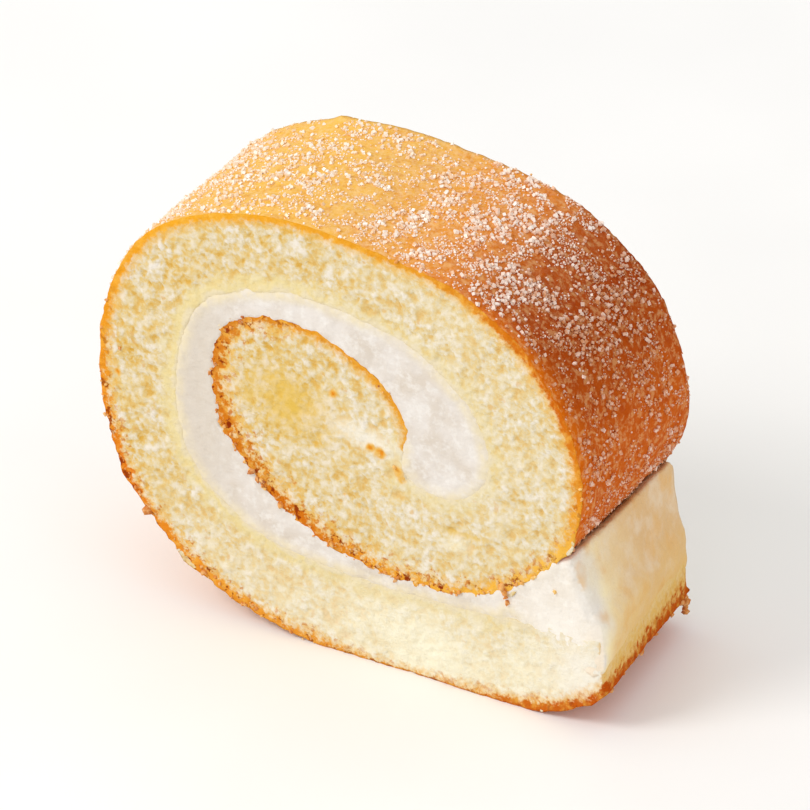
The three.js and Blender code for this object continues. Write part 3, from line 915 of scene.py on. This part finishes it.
CUBE = np.array([[x, y, z] for x in (-0.5, 0.5) for y in (-0.5, 0.5) for z in (-0.5, 0.5)])
CUBE_FACES = np.array([
    [0, 1, 3], [0, 3, 2], [4, 6, 7], [4, 7, 5], [0, 4, 5], [0, 5, 1],
    [2, 3, 7], [2, 7, 6], [0, 2, 6], [0, 6, 4], [1, 5, 7], [1, 7, 3],
])
GOLDEN = (1 + 5**0.5) / 2
BALL = np.array([[-1, GOLDEN, 0], [1, GOLDEN, 0], [-1, -GOLDEN, 0], [1, -GOLDEN, 0]])
BALL = np.concatenate([np.roll(BALL, k, axis=1) for k in range(3)]) / (2 * (1 + GOLDEN**2) ** 0.5)
BALL_FACES = np.array([
    [0, 11, 5], [0, 5, 1], [0, 1, 7], [0, 7, 10], [0, 10, 11], [1, 5, 9], [5, 11, 4], [11, 10, 2], [10, 7, 6],
    [7, 1, 8], [3, 9, 4], [3, 4, 2], [3, 2, 6], [3, 6, 8], [3, 8, 9], [4, 9, 5], [2, 4, 11], [6, 2, 10],
    [8, 6, 7], [9, 8, 1],
])
CRYSTALS = 3700, (0.25, 0.56), 3.2, 121  # count, sizes, clump, seed
DUST = 9500, (0.12, 0.26), 2.0, 127
SUGAR_COVER = [  # turn, how thickly the sugar lies
    (0, 0.0), (95, 0.05), (125, 0.25), (150, 0.6), (185, 0.75), (205, 0.5), (225, 0.55), (240, 0.85), (255, 1.0),
    (272, 1.0), (284, 0.7), (300, 0.45), (322, 0.35), (338, 0.3),
]
SUGAR_CLEAR = [(0, 0.5), (220, 0.35), (262, 0.4), (276, 0.6), (290, 0.95), (340, 0.95)]  # turn, how clear it is
SUGAR_FLOOR = 0.5  # no grain lies below this height
CRUMB_COUNT = 300
CRUMB_SIZE = (0.3, 0.95)
LOOSE_CRUMBS = [  # x, z, size, bake: crumbs that show on the front cut
    (-16.9, 23.7, 1.3, 0.9), (-16.2, 22.6, 1.0, 0.8), (-33.6, 12.5, 1.5, 0.8), (-34.1, 11.7, 1.0, 0.7),
    (-24.4, 4.4, 1.3, 0.7), (28.9, 21.6, 0.7, 0.4), (30.1, 21.0, 0.6, 0.3), (32.3, 20.4, 0.7, 0.4),
    (27.6, 19.6, 0.8, 0.5), (4.6, 33.8, 0.5, 0.35), (7.0, 32.6, 0.6, 0.45), (-36.8, 38.4, 0.7, 0.8),
]
TORN_TIP = [  # the same for a shred of crust that hangs from the turn above, over the filling
    (24.0, 18.7, 1.5, 0.62), (24.3, 17.9, 1.5, 0.68), (24.6, 17.1, 1.2, 0.72), (24.8, 16.4, 0.9, 0.78),
]
HANGING_FLAKES = [  # run, y, drop, size: torn crust along the loose end's lower edge
    (0.7, 14.2, 0.1, 1.5), (0.6, 14.3, 0.6, 1.4), (0.6, 14.3, 1.1, 1.4), (0.6, 14.3, 1.6, 1.3), (0.6, 14.3, 2.1, 1.2),
    (0.6, 14.3, 2.6, 1.0), (0.3, 12.0, 0.0, 1.0), (0.3, 8.8, 0.0, 0.8), (0.3, 3.2, 0.0, 0.7), (0.2, -2.0, 0.0, 0.9),
    (0.3, -8.0, 0.0, 0.7), (0.3, -12.6, 0.0, 0.8),
]
FLAKE_BAKE = 0.78

tip = np.argmax(ring.turn)
crust_length = np.interp(STEP_TURN, ring.turn[:tip], ring.run[:tip])


def turned(count):
    """Random rotations, as matrices."""
    q = rng.normal(size=(count, 4, 1))
    q /= np.linalg.norm(q, axis=1)[:, None]
    w, v = q[:, :1], q[:, 1:]
    across = v.transpose(0, 2, 1)
    return (2 * w * w - 1) * np.eye(3) + 2 * v * across + 2 * w * np.cross(np.eye(3), across)


def grains(shape, faces, places, sizes, jitter):
    """Vertices and triangles of a turned, shaken copy of shape at each place. Sizes are x, y and z each."""
    local = shape + rng.uniform(-jitter, jitter, (len(places), *shape.shape))
    local = local * sizes[:, None, :]
    points = places[:, None, :] + np.einsum("nij,nkj->nki", turned(len(places)), local)
    index = faces + np.arange(len(places))[:, None, None] * len(shape)
    return points.reshape(-1, 3), index.reshape(-1, 3)


def sprinkled(count, clump, seed):
    """Places on the crust, thicker where SUGAR_COVER and clumps of about clump mm say."""
    run = rng.uniform(0, crust_length, count * 6)
    y = rng.uniform(-FACE + 0.1, FACE - 0.1, count * 6)
    turn = np.interp(run, ring.run[:-1][ring.kind == CRUST], ring.turn[ring.kind == CRUST])
    clumped = smoothstep(patchy(np.c_[run, y], clump, seed), -0.25, 0.6)
    cover = by_table(turn, SUGAR_COVER) * (0.06 + 0.94 * clumped)
    bare_edge = 0.3 + 0.6 * smoothstep(turn, *BROWN_FRONT) * (y < 0)
    cover = cover * (1 - bare_edge * (1 - smoothstep(FACE - np.abs(y), 0.2, 2.6)))
    kept = np.flatnonzero(rng.uniform(size=len(run)) < cover)[:count]
    return run[kept], y[kept], turn[kept]


def sugar_grains(count, sizes, clump, seed):
    """The grains of one kind: vertices, triangles, and the crust's turn and how clear each is."""
    run, y, turn = sprinkled(count, clump, seed)
    size = rng.uniform(*sizes, (len(run), 1)) * rng.uniform(0.7, 1.1, (len(run), 3))
    place = slab.on_wall(run, y, stand=0.2 * size.mean(axis=1))
    above = place[:, 2] > SUGAR_FLOOR
    place, size, turn = place[above], size[above], turn[above]
    points, faces = grains(CUBE, CUBE_FACES, place, size, 0.12)
    clear = np.clip(by_table(turn, SUGAR_CLEAR) + rng.uniform(-0.4, 0.4, len(turn)), 0, 1)
    return points, faces, np.repeat(turn, len(CUBE)), np.repeat(clear, len(CUBE))


def clinging_crumbs():
    """Places, sizes and browning of crumbs along the coarse edges of the crust, at both cuts."""
    turn = rng.uniform(60, TIP_TURN, CRUMB_COUNT * 4)
    side = rng.choice([-1, 1], len(turn))
    kept = np.flatnonzero(rng.uniform(size=len(turn)) < 0.04 + 0.96 * coarse_edge(turn) ** 2)[:CRUMB_COUNT]
    turn, side = turn[kept], side[kept]
    size = rng.uniform(*CRUMB_SIZE, len(turn)) * rng.uniform(0.6, 1, len(turn))
    spot = crust_point(turn) + inward(turn) * rng.uniform(-0.15, 0.9, len(turn))[:, None]
    x, z = settle(spot[:, 0], spot[:, 1], side * FACE)
    relief = np.where(side < 0, sponge_face(np.c_[x, z], -1), sponge_face(np.c_[x, z], 1))
    place = np.c_[x, side * (FACE + relief + 0.1 * size), np.maximum(z, 0.5 * size)]
    return place, size, np.clip(rng.normal(0.66, 0.15, len(turn)), 0, 1)


def placed_crumbs():
    """The same for the crumbs that the photograph shows on the front cut."""
    spots = np.array(LOOSE_CRUMBS)
    index, away = nearest(spots[:, :2], ring.place[on_crust])
    beside = away < 3  # these hang on the crust's edge, and are pulled on to it
    spots[beside, :2] = (ring.place - 0.25 * ring.out)[on_crust[index[beside]]]
    x, z, size, bake = np.concatenate([spots, TORN_TIP]).T
    return np.c_[x, -(FACE + sponge_face(np.c_[x, z], -1) + 0.1 * size), z], size, bake


def hanging_flakes():
    """The same for the torn crust of the loose end."""
    run, y, drop, size = np.array(HANGING_FLAKES).T
    return slab.on_wall(run, y, 0.1) - drop[:, None] * (0, 0, 1), size, np.full(len(run), FLAKE_BAKE)


points, faces, turn, clear = zip(sugar_grains(*CRYSTALS), sugar_grains(*DUST))
faces = [faces[0], faces[1] + len(points[0])]
sugar = triangle_mesh("sugar", np.concatenate(points), np.concatenate(faces), sugar_material(), False,
                      {"turn": np.concatenate(turn), "clear": np.concatenate(clear)})
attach(sugar, "root")

place, size, bake = map(np.concatenate, zip(clinging_crumbs(), placed_crumbs(), hanging_flakes()))
shape = rng.uniform(0.45, 1.2, (len(size), 3))
shape[-len(HANGING_FLAKES):] = np.maximum(shape[-len(HANGING_FLAKES):], 0.7)
points, faces = grains(BALL, BALL_FACES, place, size[:, None] * shape, 0.16)
crumbs = triangle_mesh("crumbs", points, faces, crumbs_material(), True, {"bake": np.repeat(bake, len(BALL))})
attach(crumbs, "root")

# -------- floor, light and camera

AZIMUTH, ELEVATION = math.radians(30), math.radians(31.5)
CAMERA_DISTANCE = 1.86  # metres: the photograph is all but free of perspective
CAMERA_LENS = 600.0
CAMERA_TARGET = Vector((0.0, 0.0, 0.0325))
LAMP_TARGET = Vector((0.0, 0.0, 0.03))


def floor_material():
    s = Surface("floor", Roughness=0.6)
    colour = s.mottle(rgb(250, 249, 247), rgb(246, 245, 243), 60, 0.3, 0.7)
    return s.finish(colour, s.bump(s.noise(3), 0.02, 0.2))


def lamp(name, place, size, watts, colour):
    light = bpy.data.lights.new(name, "AREA")
    light.shape, light.size, light.energy, light.color = "DISK", size, watts, colour
    body = bpy.data.objects.new(name, light)
    body.location = place
    body.rotation_euler = (LAMP_TARGET - Vector(place)).to_track_quat("-Z", "Y").to_euler()
    bpy.context.collection.objects.link(body)


bpy.ops.mesh.primitive_plane_add(size=3, location=(0, 0, -0.00002))
floor = bpy.context.object
floor.name = "floor"
floor.data.materials.append(floor_material())

world = bpy.data.worlds.new("studio")
world.use_nodes = True
background = world.node_tree.nodes["Background"].inputs
background["Color"].default_value = (1, 1, 1, 1)
background["Strength"].default_value = 0.84
bpy.context.scene.world = world
lamp("key", (-0.5, -0.55, 0.75), 0.45, 4.2, (1, 0.99, 0.97))
lamp("front", (0.25, -0.95, 0.35), 0.6, 0.5, (1, 0.99, 0.98))

scene = bpy.context.scene
view = scene.view_settings
view.view_transform, view.look, view.exposure, view.gamma = "Standard", "None", 0, 1

camera = bpy.data.objects.new("camera", bpy.data.cameras.new("camera"))
bpy.context.collection.objects.link(camera)
camera.data.lens = CAMERA_LENS
camera.data.clip_end = 10
level = math.cos(ELEVATION)
toward = Vector((math.sin(AZIMUTH) * level, -math.cos(AZIMUTH) * level, math.sin(ELEVATION)))
camera.location = CAMERA_TARGET + CAMERA_DISTANCE * toward
camera.rotation_euler = (-toward).to_track_quat("-Z", "Y").to_euler()
scene.camera = camera
